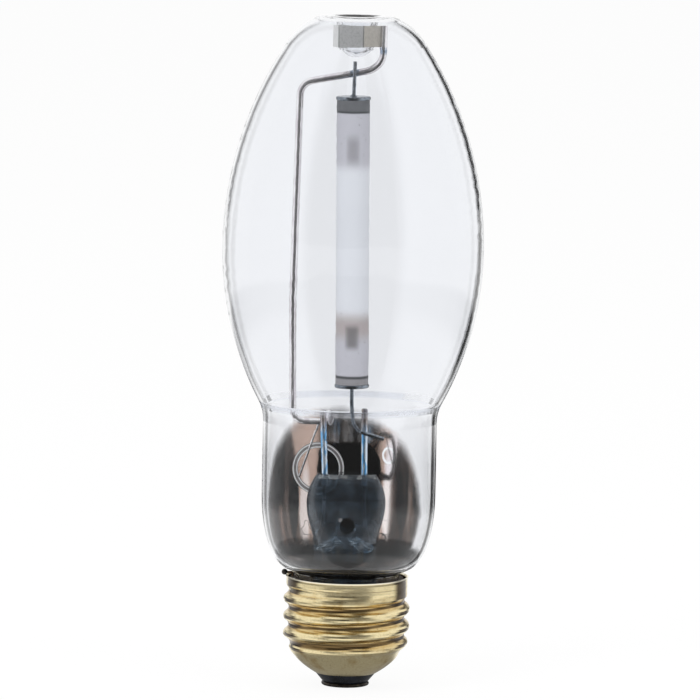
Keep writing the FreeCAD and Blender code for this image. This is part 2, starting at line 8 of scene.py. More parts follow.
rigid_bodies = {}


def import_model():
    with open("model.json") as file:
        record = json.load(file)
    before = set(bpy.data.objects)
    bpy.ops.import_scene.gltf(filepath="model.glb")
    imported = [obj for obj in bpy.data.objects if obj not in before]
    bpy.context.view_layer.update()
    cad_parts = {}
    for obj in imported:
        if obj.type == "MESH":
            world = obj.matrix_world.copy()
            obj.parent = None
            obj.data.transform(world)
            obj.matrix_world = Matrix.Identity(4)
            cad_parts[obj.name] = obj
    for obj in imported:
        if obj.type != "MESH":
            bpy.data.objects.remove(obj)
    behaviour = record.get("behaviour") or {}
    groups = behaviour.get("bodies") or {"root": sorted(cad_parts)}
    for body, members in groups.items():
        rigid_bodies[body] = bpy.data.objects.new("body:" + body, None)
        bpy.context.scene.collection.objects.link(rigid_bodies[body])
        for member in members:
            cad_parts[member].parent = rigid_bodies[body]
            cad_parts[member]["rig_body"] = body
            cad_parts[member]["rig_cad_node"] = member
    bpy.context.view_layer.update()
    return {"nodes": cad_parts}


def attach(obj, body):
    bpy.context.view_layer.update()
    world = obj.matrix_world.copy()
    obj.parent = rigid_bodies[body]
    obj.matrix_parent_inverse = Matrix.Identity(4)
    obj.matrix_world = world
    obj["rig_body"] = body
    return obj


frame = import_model()
MM = 0.001
GLASS_BOUNCES = 24
METAL_BOUNCES = 16
scene = bpy.context.scene
scene.view_settings.view_transform = "Standard"
scene.cycles.max_bounces = GLASS_BOUNCES
scene.cycles.transmission_bounces = GLASS_BOUNCES
scene.cycles.transparent_max_bounces = GLASS_BOUNCES
scene.cycles.glossy_bounces = METAL_BOUNCES


# The camera stands in front of the lamp with a long lens, a little above it, and looks down on it.
# The photographed lamp leans a little to the right, so the camera is rolled the other way.
CAMERA_AT = Vector((-0.25, -1195, 202)) * MM
LOOK_DOWN = math.radians(6.3)
ROLL = math.radians(1.06)
LENS = 299.5
FAR_CLIP = 40.0

bpy.ops.object.camera_add(location=CAMERA_AT)
camera = bpy.context.object
camera.name = "camera"
camera.data.lens = LENS
camera.data.clip_end = FAR_CLIP
sight = Vector((0, math.cos(LOOK_DOWN), -math.sin(LOOK_DOWN)))
camera.rotation_mode = "QUATERNION"
camera.rotation_quaternion = sight.to_track_quat("-Z", "Y") @ Quaternion((0, 0, 1), ROLL)
scene.camera = camera


# The studio is a room of white paper. The pictures are taken as on a turntable: the lamp turns, and the
# room stays where it is round the camera's line of sight. Two dark flags beside the backdrop draw the
# edges of the clear glass, and the room is dark behind the camera, which has a darker card round it.
REACH = 1.195
ROOM_R = 3.0
FLAG_SOFT = math.radians(2)
FLAG_STOP = math.radians(34)
RIGHT_FLAG = (math.radians(19), 0.03)
LEFT_FLAG = (math.radians(22), 0.3)
FRONT_TURN = (math.radians(127), math.radians(141))
FRONT_STEP = (-0.45, -0.3)
FRONT_LOW = 0.03
FRONT_HIGH = 0.2
CEILING = (1.5, 2.5)
CAMERA_CARD_TURN = (math.radians(163.9), math.radians(168.1))
CAMERA_CARD_HEIGHT = (0.36, 0.24)
CAMERA_CARD_SHADE = 0.95


def put(tree, kind, inputs=None, **settings):
    """Adds a shader node: settings are its properties, and an input given as a socket is linked."""
    node = tree.nodes.new("ShaderNode" + kind)
    for name, value in settings.items():
        setattr(node, name, value)
    for name, value in (inputs or {}).items():
        if isinstance(value, bpy.types.NodeSocket):
            tree.links.new(value, node.inputs[name])
        else:
            node.inputs[name].default_value = value
    return node


def compute(tree, operation, a, b=0.0):
    """The result of one arithmetic operation on two numbers or sockets."""
    return put(tree, "Math", {0: a, 1: b}, operation=operation).outputs[0]


def product(tree, *factors):
    """All the factors multiplied together."""
    result = factors[0]
    for factor in factors[1:]:
        result = compute(tree, "MULTIPLY", result, factor)
    return result


def inverse(tree, share):
    """What is left of one when a share is taken from it."""
    return compute(tree, "SUBTRACT", 1.0, share)


def fade(tree, value, low, high):
    """0 at low and 1 at high, with a smooth step between."""
    step = {"Value": value, 1: low, 2: high}
    return put(tree, "MapRange", step, interpolation_type="SMOOTHSTEP").outputs[0]


def window(tree, value, low, high, soft):
    """1 between two limits and 0 outside them, with soft edges."""
    above = fade(tree, value, low - soft, low + soft)
    return product(tree, above, fade(tree, value, high + soft, high - soft))


def between(tree, share, first, second):
    """A number between two others."""
    return put(tree, "Mix", {0: share, 2: first, 3: second}).outputs[0]


def darkened(tree, tone, mask, share):
    """A brightness with a share of it taken away where the mask is one."""
    return product(tree, tone, inverse(tree, product(tree, mask, share)))


def new_finish(name):
    """An empty material and its node tree."""
    material = bpy.data.materials.new(name)
    material.use_nodes = True
    material.node_tree.nodes.clear()
    return material, material.node_tree


def to_surface(tree, shader):
    """Links a shader to the material's surface."""
    output = put(tree, "OutputMaterial")
    tree.links.new(shader, output.inputs["Surface"])


def axes(tree, place):
    """The X, Y and Z parts of a place."""
    return put(tree, "SeparateXYZ", {0: place}).outputs


def own_place(tree):
    """Where the surface is in its object's own frame, in metres."""
    return put(tree, "TexCoord").outputs["Object"]


def glow(tree, tone):
    """A grey light of the given brightness, as lit paper gives."""
    grey = put(tree, "CombineColor", {0: tone, 1: tone, 2: tone}).outputs[0]
    return put(tree, "Emission", {"Color": grey}).outputs[0]


def paper(stand, material):
    """Covers a piece of the studio with its paper, which Cycles doesn't treat as a lamp."""
    material.cycles.emission_sampling = "NONE"
    stand.data.materials.append(material)


def only_reflected(stand):
    """Hides a piece of the studio from the camera, and keeps its light and shade off the lamp."""
    for kind in ("camera", "diffuse", "shadow", "volume_scatter"):
        setattr(stand, "visible_" + kind, False)


bpy.ops.mesh.primitive_uv_sphere_add(segments=64, ring_count=32, radius=ROOM_R)
room = bpy.context.object
room.name = "studio_room"
room.parent = camera
room.location = (0, 0, -REACH)
room_paper, tree = new_finish("room_paper")
toward = axes(tree, own_place(tree))
# The turn is nought straight behind the lamp and half a circle at the camera.
turn = compute(tree, "ARCTAN2", toward["X"], product(tree, toward["Z"], -1.0))
tone = 1.0
for side, (flag_start, dark) in ((1.0, RIGHT_FLAG), (-1.0, LEFT_FLAG)):
    flag = window(tree, product(tree, turn, side), flag_start, FLAG_STOP, FLAG_SOFT)
    tone = darkened(tree, tone, flag, 1 - dark)
turned = compute(tree, "ABSOLUTE", turn)
front_tone = between(tree, fade(tree, toward["Y"], *FRONT_STEP), FRONT_LOW, FRONT_HIGH)
tone = darkened(tree, tone, fade(tree, turned, *FRONT_TURN), inverse(tree, front_tone))
tone = compute(tree, "MAXIMUM", tone, fade(tree, toward["Y"], *CEILING))
height = compute(tree, "ABSOLUTE", toward["Y"])
card = product(tree, fade(tree, turned, *CAMERA_CARD_TURN), fade(tree, height, *CAMERA_CARD_HEIGHT))
tone = darkened(tree, tone, card, CAMERA_CARD_SHADE)
to_surface(tree, glow(tree, tone))
paper(room, room_paper)
only_reflected(room)


# The lamp stands on white paper, which keeps its faint shadow. Its bright metal reflects the paper close
# by, which is in shade right under the cap and in a ring round it. Its glass reflects the paper further
# off, which is dark. Distances are in metres from the lamp.
FLOOR_SIZE = 30.0
NEAR_TONE = 1.0
MIDDLE_TONE = 0.04
FAR_TONE = 0.9
MIDDLE_START = (0.16, 0.26)
FAR_START = (0.36, 0.46)
SHADY_RING = (0.046, 0.08)
RING_SOFT = 0.004
RING_SHADE = 0.7
UNDER_CAP = (0.024, 0.016)
UNDER_SHADE = 0.72
PAPER_WHITE = (0.85, 0.85, 0.85, 1)
GLOW_SHARE = 0.92


def sum_of_powers(tree, parts, power=2.0):
    """Two numbers, each raised to a power whatever its sign, and added."""
    raised = [compute(tree, "POWER", compute(tree, "ABSOLUTE", part), power) for part in parts]
    return compute(tree, "ADD", *raised)


def length(tree, *parts):
    """How long a flat vector is, from its two parts."""
    return compute(tree, "SQRT", sum_of_powers(tree, parts))


bpy.ops.mesh.primitive_plane_add(size=FLOOR_SIZE, location=(0, 0, 0))
floor = bpy.context.object
floor.name = "studio_floor"
floor_paper, tree = new_finish("floor_paper")
spot = axes(tree, own_place(tree))
off = length(tree, spot["X"], spot["Y"])
tone = between(tree, fade(tree, off, *MIDDLE_START), NEAR_TONE, MIDDLE_TONE)
tone = between(tree, fade(tree, off, *FAR_START), tone, FAR_TONE)
tone = darkened(tree, tone, window(tree, off, *SHADY_RING, RING_SOFT), RING_SHADE)
tone = darkened(tree, tone, fade(tree, off, *UNDER_CAP), UNDER_SHADE)
path = put(tree, "LightPath").outputs
tone = compute(tree, "MAXIMUM", tone, path["Is Camera Ray"])
share = compute(tree, "MAXIMUM", product(tree, path["Is Camera Ray"], GLOW_SHARE), path["Is Glossy Ray"])
plain_paper = put(tree, "BsdfDiffuse", {"Color": PAPER_WHITE}).outputs[0]
to_surface(tree, put(tree, "MixShader", {0: share, 1: plain_paper, 2: glow(tree, tone)}).outputs[0])
paper(floor, floor_paper)
floor.visible_transmission = False


# A grey card lies on the paper in front of the lamp, where the camera stands in its own light. It turns
# with the camera, and only reflections show it.
CARD_TONE = 0.30
CARD_SIZE = 0.5
CARD_LIFT = 1 * MM
CARD_SPREAD = (math.radians(62), math.radians(22))
CARD_START = (0.042, 0.05)

bpy.ops.mesh.primitive_plane_add(size=CARD_SIZE, location=(0, -CARD_SIZE / 2, CARD_LIFT))
front_card = bpy.context.object
front_card.name = "front_card"
card_paper, tree = new_finish("card_paper")
spot = axes(tree, own_place(tree))
ahead = compute(tree, "SUBTRACT", CARD_SIZE / 2, spot["Y"])
spread = compute(tree, "ARCTAN2", compute(tree, "ABSOLUTE", spot["X"]), ahead)
share = product(tree, fade(tree, spread, *CARD_SPREAD), fade(tree, ahead, *CARD_START))
nothing = put(tree, "BsdfTransparent").outputs[0]
to_surface(tree, put(tree, "MixShader", {0: share, 1: nothing, 2: glow(tree, CARD_TONE)}).outputs[0])
paper(front_card, card_paper)
bpy.context.view_layer.update()
front_card.parent = camera
front_card.matrix_parent_inverse = camera.matrix_world.inverted()
front_card.visible_transmission = False
only_reflected(front_card)


# Soft light comes from all round, and the camera sees plain white there. Three soft boxes add shape: a
# key on the left in front, a fill on the right and one overhead. They don't show in the glass or brass.
WHITE = (1, 1, 1, 1)
LIGHT_ALL_ROUND = 0.80
LIGHTS_AIM = Vector((0, 0, 0.07))
SOFT_BOXES = (
    ("key_light", (-0.75, -0.75, 0.75), (0.5, 0.7), 6.0),
    ("fill_light", (0.85, -0.55, 0.45), (0.5, 0.7), 2.4),
    ("top_light", (0.0, 0.1, 1.3), (0.7, 0.7), 4.0),
)

world = bpy.data.worlds.new("studio")
scene.world = world
world.use_nodes = True
tree = world.node_tree
tree.nodes.clear()
path = put(tree, "LightPath").outputs
strength = between(tree, path["Is Camera Ray"], LIGHT_ALL_ROUND, 1.0)
background = put(tree, "Background", {"Color": WHITE, "Strength": strength}).outputs[0]
tree.links.new(background, put(tree, "OutputWorld").inputs["Surface"])
for name, place, size, power in SOFT_BOXES:
    bpy.ops.object.light_add(type="AREA", location=place)
    light = bpy.context.object
    light.name = name
    light.data.shape = "RECTANGLE"
    light.data.size, light.data.size_y = size
    light.data.energy = power
    light.visible_glossy = False
    light.visible_transmission = False
    light.rotation_mode = "QUATERNION"
    light.rotation_quaternion = (LIGHTS_AIM - Vector(place)).to_track_quat("-Z", "Y")


# The screw shell is thin brass, rolled with the thread and browned with age. The flanks of its grooves are
# painted browner as shade and their roots are nearly black, small dark pits are scattered over it, a line
# is scored round it below the rim, its upright sides are painted dark as a reflection where they turn from
# the eye, and the rim is painted bright as a highlight. Radii and heights are in millimetres.
BRASS = (0.87, 0.75, 0.45, 1)
BRASS_BROWN = (0.52, 0.33, 0.10, 1)
BRASS_DARK = (0.10, 0.055, 0.02, 1)
BRASS_RIM_HIGHLIGHT = (0.95, 0.88, 0.70, 1)
BRASS_SHADE = (0.035, 0.02, 0.01, 1)
THREAD_Z = (8.9, 20.0)
GROOVE_R = 12.0
GROOVE_SHADE_R = (GROOVE_R + 0.9, GROOVE_R + 0.2)
GROOVE_ROOT_R = (GROOVE_R + 0.09, GROOVE_R + 0.02)
SCORE_Z = (21.2, 21.3)
SCORE_SHARE = 0.55
RIM_HIGHLIGHT_Z = (22.8, 22.9)
SIDE_TURN = (0.42, 0.80)
UPRIGHT = (0.55, 0.3)
GRAIN_RELIEF = 0.5
BRASS_ROUGH = (0.16, 0.28)


def millimetres(tree, stretch=(1, 1, 1)):
    """Where the surface is, in millimetres of the lamp's own frame, stretched along each axis."""
    scale = [s / MM for s in stretch]
    return put(tree, "Mapping", {"Vector": own_place(tree), "Scale": scale}).outputs["Vector"]


def speckle(tree, place, scale, detail=3.0, roughness=0.5):
    """Soft random variation between nought and one."""
    cloud = {"Vector": place, "Scale": scale, "Detail": detail, "Roughness": roughness}
    return put(tree, "TexNoise", cloud).outputs["Fac"]


def patches(tree, place, scale, low, high, detail=3.0, roughness=0.5):
    """Soft-edged patches scattered over the surface, as 1 on them and 0 off them."""
    return fade(tree, speckle(tree, place, scale, detail, roughness), low, high)


def laid(tree, tone, colour, mask, share=1.0):
    """A tone with a share of another colour laid over it where the mask is one."""
    if share < 1:
        mask = product(tree, mask, share)
    return put(tree, "Mix", {0: mask, 6: tone, 7: colour}, data_type="RGBA").outputs[2]


def facing(tree):
    """How far the surface turns away from the eye: nought when it faces the eye, one edge-on."""
    return put(tree, "LayerWeight", {"Blend": 0.5}).outputs["Facing"]


def bumped(tree, height, strength, distance):
    """The surface normal with a small relief on it; distance is the relief's height in millimetres."""
    relief = put(tree, "Bump", {"Height": height, "Strength": strength, "Distance": distance * MM})
    return relief.outputs["Normal"]


def solid(tree, tone, metallic, rough, normal=None, **more):
    """The shader of a solid surface of one tone, metal or not."""
    inputs = {"Base Color": tone, "Metallic": metallic, "Roughness": rough}
    if normal:
        inputs["Normal"] = normal
    return put(tree, "BsdfPrincipled", {**inputs, **more}).outputs[0]


def dress(node, material):
    """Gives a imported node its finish."""
    frame["nodes"][node].material_slots[0].material = material


shell_brass, tree = new_finish("aged_brass")
place = millimetres(tree)
at = axes(tree, place)
radius = length(tree, at["X"], at["Y"])
grain = speckle(tree, place, scale=2.5, detail=6.0, roughness=0.7)
stains = patches(tree, place, scale=0.22, low=0.50, high=0.80, detail=5.0, roughness=0.62)
tone = laid(tree, BRASS, BRASS_BROWN, stains, share=0.8)
tone = laid(tree, tone, BRASS_BROWN, fade(tree, grain, low=0.45, high=0.75), share=0.4)
thread = window(tree, at["Z"], *THREAD_Z, soft=0.3)
# Painted shade: the flanks of the grooves are browner, and their roots are nearly black.
tone = laid(tree, tone, BRASS_BROWN, product(tree, fade(tree, radius, *GROOVE_SHADE_R), thread), share=0.6)
tone = laid(tree, tone, BRASS_DARK, product(tree, fade(tree, radius, *GROOVE_ROOT_R), thread), share=0.85)
# Painted shade: the upright sides go dark where they turn from the eye, as a painted reflection.
lean = axes(tree, put(tree, "NewGeometry").outputs["Normal"])["Z"]
upright = fade(tree, compute(tree, "ABSOLUTE", lean), *UPRIGHT)
side = product(tree, window(tree, facing(tree), *SIDE_TURN, soft=0.07), upright)
tone = laid(tree, tone, BRASS_SHADE, side, share=0.95)
score = product(tree, window(tree, at["Z"], *SCORE_Z, soft=0.04), SCORE_SHARE)
tone = laid(tree, tone, BRASS_DARK, score)
pits = patches(tree, place, scale=2.4, low=0.70, high=0.76, detail=2.0)
tone = laid(tree, tone, BRASS_DARK, pits)
# Painted highlight: the rim is bright.
tone = laid(tree, tone, BRASS_RIM_HIGHLIGHT, fade(tree, at["Z"], *RIM_HIGHLIGHT_Z))
hollows = compute(tree, "ADD", pits, score)
relief = compute(tree, "SUBTRACT", product(tree, grain, GRAIN_RELIEF), hollows)
rough = put(tree, "MapRange", {"Value": grain, 3: BRASS_ROUGH[0], 4: BRASS_ROUGH[1]}).outputs[0]
relief = bumped(tree, relief, strength=0.3, distance=0.04)
to_surface(tree, solid(tree, tone, metallic=1.0, rough=rough, normal=relief))
dress("screw_shell", shell_brass)


# Black glass is cast into the end of the shell and keeps the centre contact off it. It is smooth and
# nearly black, and wanders a little between two tones.
BLACK = (0, 0, 0, 1)
EDGE_ON = (0.45, 0.95)


def outlined(tree, tone, share):
    """A polished surface's tone, painted darker as shade where it turns away from the eye."""
    return laid(tree, tone, BLACK, fade(tree, facing(tree), *EDGE_ON), share)


def plain_finish(name, light, dark, scale, metallic, rough, bump=0.2, depth=0.02, rim=0.0, gloss=0.5):
    """A finish that wanders between two tones, with a fine relief."""
    material, tree = new_finish(name)
    place = millimetres(tree)
    tone = laid(tree, light, dark, patches(tree, place, scale, low=0.35, high=0.65, detail=4.0))
    # rim is the share of painted shade at the edges, where the surface turns from the eye.
    if rim:
        tone = outlined(tree, tone, rim)
    relief = bumped(tree, speckle(tree, place, scale * 6), bump, depth)
    level = {"Specular IOR Level": gloss}
    to_surface(tree, solid(tree, tone, metallic, rough, relief, **level))
    return material


dress("base_insulator", plain_finish("black_glass", (0.004, 0.005, 0.006, 1), (0.012, 0.014, 0.02, 1),
                                     scale=0.4, metallic=0.0, rough=0.15, bump=0.4, depth=0.08, gloss=0.2))


# The centre contact is a brass disc set in the black glass, painted nearly black as shade. Soft solder
# fills its hole over the end of one lead, and a burnt drop of solder joins the other lead to the shell's
# rim.
dress("centre_contact", plain_finish("brass_painted_dark", (0.05, 0.04, 0.03, 1), (0.015, 0.013, 0.012, 1),
                                     scale=0.9, metallic=0.8, rough=0.35))
dress("centre_solder", plain_finish("soft_solder", (0.42, 0.42, 0.42, 1), (0.18, 0.18, 0.18, 1),
                                    scale=1.5, metallic=1.0, rough=0.4))
dress("side_solder", plain_finish("burnt_solder", (0.05, 0.045, 0.04, 1), (0.01, 0.01, 0.01, 1),
                                  scale=2.5, metallic=0.6, rough=0.3))


# The basing cement is a dull ring of phenolic cement, baked hard between the bulb's collar and the
# shell. It holds the cap on the glass and shows as a dark line above the rim.
dress("basing_cement", plain_finish("basing_cement", (0.16, 0.14, 0.12, 1), (0.07, 0.06, 0.05, 1),
                                    scale=1.0, metallic=0.0, rough=0.9, bump=0.5, depth=0.1))


# The envelope is one piece of blown borosilicate glass, clear and thin, with the faint waves that
# blowing leaves in it. Light passes through it to what stands inside.
GLASS_TINT = (0.932, 0.941, 0.960, 1)
GLASS_SHADOW = (0.97, 0.97, 0.97, 1)


def clear_glass(name, tint, rough, wave_scale, wave_height, ior=1.47, paint=None, clear=1.0):
    """Clear glass with a faint wave, which lets the lamps' light through to what it encloses."""
    material, tree = new_finish(name)
    if paint:
        tint = paint(tree, tint)
    wave = speckle(tree, millimetres(tree), wave_scale, detail=2.0)
    wave = bumped(tree, wave, strength=1.0, distance=wave_height)
    glass = put(tree, "BsdfPrincipled", {
        "Base Color": tint,
        "Roughness": rough,
        "IOR": ior,
        "Transmission Weight": clear,
        "Normal": wave,
    })
    path = put(tree, "LightPath").outputs
    through = compute(tree, "MAXIMUM", path["Is Shadow Ray"], path["Is Diffuse Ray"])
    shadow = put(tree, "BsdfTransparent", {"Color": GLASS_SHADOW}).outputs[0]
    to_surface(tree, put(tree, "MixShader", {0: through, 1: glass.outputs[0], 2: shadow}).outputs[0])
    return material


dress("outer_bulb", clear_glass("clear_envelope_glass", GLASS_TINT, rough=0.0, wave_scale=0.05,
                                wave_height=0.015))


# The getter was flashed at the back of the neck and left a mirror of metal on the inside of the
# glass, tan in the middle and darker towards the sides. Reflections and shade are painted on it, and on
# the floor of the bowl it is painted black as a dark reflection.
# Its mesh is the glass's own inner wall, moved inwards by a hair. Sizes are in millimetres.
FILM_Z = (24.0, 60.0)
FILM_BOWL_FLOOR_Z = 30.0
FILM_FRONT_Y = -3.0
FILM_WELD = 0.002
FILM_GAP = 0.05
FILM_THICK = 0.02

bpy.ops.object.select_all(action="DESELECT")
bulb = frame["nodes"]["outer_bulb"]
bulb.select_set(True)
bpy.context.view_layer.objects.active = bulb
bpy.ops.object.duplicate()
film = bpy.context.object
film.name = "getter_mirror"
film.parent = None
film.data.materials.clear()
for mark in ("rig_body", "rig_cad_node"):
    if mark in film:
        del film[mark]
bpy.ops.object.mode_set(mode="EDIT")
bpy.ops.mesh.select_all(action="SELECT")
bpy.ops.mesh.remove_doubles(threshold=FILM_WELD * MM)
mesh = bmesh.from_edit_mesh(film.data)
for face in mesh.faces:
    middle = face.calc_center_median()
    outward = face.normal.x * middle.x + face.normal.y * middle.y
    in_bowl = middle.z < FILM_BOWL_FLOOR_Z * MM
    inside = outward < 0 or (face.normal.z > 0 and in_bowl)
    coated = middle.y > FILM_FRONT_Y * MM or in_bowl
    face.select = inside and coated and FILM_Z[0] * MM < middle.z < FILM_Z[1] * MM
bmesh.update_edit_mesh(film.data)
bpy.ops.mesh.select_all(action="INVERT")
bpy.ops.mesh.delete(type="FACE")
bpy.ops.mesh.select_all(action="SELECT")
bpy.ops.transform.shrink_fatten(value=FILM_GAP * MM)
bpy.ops.object.mode_set(mode="OBJECT")
bpy.ops.object.modifier_add(type="SOLIDIFY")
film.modifiers[-1].thickness = -FILM_THICK * MM
bpy.ops.object.modifier_apply(modifier=film.modifiers[-1].name)
bpy.ops.object.shade_smooth()

# The film's outline is a round-topped patch at the back and a full ring low in the bowl.
FILM_MIDDLE_Z = 31.0
FILM_RISE = 24.5
FILM_HALF_TURN = math.radians(78)
FILM_OFF_CENTRE = math.radians(11)
FILM_FADE = (1.12, 0.80)
FILM_BOWL_Z = (28.8, 27.2)
FILM_SIDE_X = (10.5, 15.5)
FILM_TAN = (0.48, 0.345, 0.28, 1)
FILM_EDGE = (0.20, 0.165, 0.15, 1)
FILM_PAINTED_BLACK = (0.012, 0.011, 0.011, 1)
FILM_ROUGH = 0.07
HEIGHT_WANDER = 6.0
EDGE_WANDER = 0.15
DEPOSIT_WANDER = 0.6
# Above the painted dark square behind the stem it is thin, and light comes through it most in three
# streaks.
THIN_Z = (48.4, 49.2)
THIN_X = (-6.0, 7.0)
THIN_CLEAR = 0.09
STREAKS_X = ((-4.6, -2.6), (-1.4, 0.8), (1.8, 4.6))
STREAKS_END_Z = (56.5, 50.0)
STREAK_CLEAR = 0.2
SWIRL_Z = (34.0, 31.0)
SWIRL_LINE = (0.02, 0.008)
PAINTED_BLACK_Z = (31.0, 26.5)
# Painted reflections and shade: across and up, half width and half height, softness, tone, share
FILM_PAINTED_REFLECTIONS = (
    ((13.4, 38.5), (1.2, 11.0), 0.7, (0.90, 0.82, 0.76, 1), 0.9),
    ((-13.8, 38.0), (1.1, 9.0), 0.7, (0.34, 0.28, 0.26, 1), 0.7),
    ((9.6, 42.0), (2.0, 9.5), 0.5, (0.95, 0.90, 0.92, 1), 0.9),
    ((10.6, 38.0), (0.8, 9.0), 0.6, (0.55, 0.38, 0.28, 1), 0.7),
    ((-9.3, 34.0), (1.1, 10.0), 0.6, (0.80, 0.72, 0.68, 1), 0.8),
    ((8.5, 35.5), (1.5, 6.8), 0.5, (0.98, 0.90, 0.85, 1), 0.95),
    ((1.2, 54.0), (5.5, 5.5), 0.7, (0.15, 0.145, 0.15, 1), 0.9),
    ((-1.2, 51.5), (1.2, 2.8), 0.35, (0.62, 0.55, 0.50, 1), 0.9),
    ((3.6, 50.6), (1.3, 2.2), 0.35, (0.60, 0.53, 0.48, 1), 0.8),
    ((-0.2, 42.0), (6.6, 6.6), 0.12, (0.008, 0.009, 0.010, 1), 1.0),
    ((-11.5, 36.0), (0.9, 6.3), 0.2, (0.015, 0.022, 0.026, 1), 1.0),
    ((11.0, 37.2), (0.8, 6.3), 0.2, (0.015, 0.022, 0.026, 1), 1.0),
)
# A painted mark with a harder edge than this has square corners, and the others are ovals.
SQUARE_BELOW = 0.15
SQUARE_POWER = 6.0
LOOP_LINE = (0.55, 1.15)
# Loops painted as reflections: across and up, half width and half height, tone
FILM_PAINTED_LOOPS = (
    ((8.4, 46.4), (1.3, 1.7), (1, 1, 1, 1)),
    ((7.2, 29.4), (0.8, 0.8), (0.01, 0.01, 0.01, 1)),
    ((11.2, 28.6), (0.9, 1.1), (0.01, 0.01, 0.01, 1)),
    ((8.7, 25.6), (0.9, 0.6), (0.7, 0.68, 0.66, 1)),
)


def within(tree, at, centre, half_size):
    """How far the surface is from a mark's centre, across and up, as shares of its half size."""
    away = [compute(tree, "SUBTRACT", at[axis], middle) for axis, middle in zip("XZ", centre)]
    return [compute(tree, "DIVIDE", part, half) for part, half in zip(away, half_size)]


mirror_metal, tree = new_finish("getter_mirror")
place = millimetres(tree)
at = axes(tree, place)
wander = compute(tree, "SUBTRACT", speckle(tree, place, scale=0.25), 0.5)
uneven_z = compute(tree, "ADD", at["Z"], product(tree, wander, HEIGHT_WANDER))
turn = compute(tree, "ARCTAN2", at["X"], at["Y"])
turn = compute(tree, "DIVIDE", compute(tree, "ADD", turn, FILM_OFF_CENTRE), FILM_HALF_TURN)
rise = compute(tree, "MAXIMUM", compute(tree, "SUBTRACT", at["Z"], FILM_MIDDLE_Z), 0.0)
reach = sum_of_powers(tree, (turn, compute(tree, "DIVIDE", rise, FILM_RISE)))
reach = compute(tree, "ADD", reach, product(tree, wander, EDGE_WANDER))
cover = compute(tree, "MAXIMUM", fade(tree, reach, *FILM_FADE), fade(tree, at["Z"], *FILM_BOWL_Z))
thin = product(tree, fade(tree, at["Z"], *THIN_Z), window(tree, at["X"], *THIN_X, soft=1.0))
streaks = 0.0
for streak_x in STREAKS_X:
    streaks = compute(tree, "ADD", streaks, window(tree, at["X"], *streak_x, soft=0.4))
streaks = product(tree, streaks, fade(tree, uneven_z, *STREAKS_END_Z))
clearer = compute(tree, "ADD", product(tree, streaks, STREAK_CLEAR), THIN_CLEAR)
cover = product(tree, cover, inverse(tree, product(tree, thin, clearer)))
side = fade(tree, compute(tree, "ABSOLUTE", at["X"]), *FILM_SIDE_X)
tone = laid(tree, FILM_TAN, FILM_EDGE, side)
# Painted reflections and shade are laid on the film.
for centre, half_size, soft, colour, share in FILM_PAINTED_REFLECTIONS:
    across, up = within(tree, at, centre, half_size)
    across = compute(tree, "ADD", across, product(tree, wander, DEPOSIT_WANDER))
    off = sum_of_powers(tree, (across, up), SQUARE_POWER if soft < SQUARE_BELOW else 2.0)
    tone = laid(tree, tone, colour, fade(tree, off, 1 + soft, 1 - soft), share)
# Painted loops of reflection.
for centre, half_size, colour in FILM_PAINTED_LOOPS:
    off = sum_of_powers(tree, within(tree, at, centre, half_size))
    tone = laid(tree, tone, colour, window(tree, off, *LOOP_LINE, soft=0.15))
# The painted black of the bowl's floor reaches up in thin swirls.
swirl = compute(tree, "SUBTRACT", speckle(tree, place, scale=0.35, detail=1.0), 0.5)
swirl = fade(tree, compute(tree, "ABSOLUTE", swirl), *SWIRL_LINE)
tone = laid(tree, tone, FILM_PAINTED_BLACK, product(tree, swirl, fade(tree, at["Z"], *SWIRL_Z)), share=0.8)
# Painted dark reflection: the floor of the bowl is black and dull.
painted_black = fade(tree, uneven_z, *PAINTED_BLACK_Z)
tone = laid(tree, tone, FILM_PAINTED_BLACK, painted_black)
metal = solid(tree, tone, metallic=1.0, rough=FILM_ROUGH)
painted_black_shader = put(tree, "BsdfDiffuse", {"Color": BLACK}).outputs[0]
metal = put(tree, "MixShader", {0: painted_black, 1: metal, 2: painted_black_shader}).outputs[0]
nothing = put(tree, "BsdfTransparent").outputs[0]
to_surface(tree, put(tree, "MixShader", {0: cover, 1: nothing, 2: metal}).outputs[0])
film.data.materials.append(mirror_metal)
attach(film, "root")


# The stem is a flare tube with its top pressed flat round the wires, of thick glass tinted nearly black, a
# painted shade for the dark mirror behind it, and the exhaust tube is the same glass.
STEM_TINT = (0.045, 0.07, 0.095, 1)
STEM_HAZE = (0.16, 0.22, 0.28, 1)
STEM_TOP_HIGHLIGHT = (0.75, 0.78, 0.76, 1)
STEM_FOOT = (0.22, 0.22, 0.20, 1)
STEM_GOLD_HIGHLIGHT = (1, 0.86, 0.6, 1)
STEM_IOR = 1.56
STEM_STREAK = (1, 1, 0.12)
TOP_HIGHLIGHT_Z = (43.4, 43.7)
FOLD_SHADE_Z = (39.1, 39.3)
BLOW_HOLE_AT = (-0.1, 34.15)
BLOW_HOLE_SHADE_R = (1.7, 1.4)
GLINT_X = (-1.9, -1.2)
GLINT_Z = (34.9, 35.6)
FOOT_Z = (31.0, 28.5)
GOLD_HIGHLIGHT_Z = (24.9, 26.2)
EXHAUST_TINT = (0.5, 0.55, 0.58, 1)


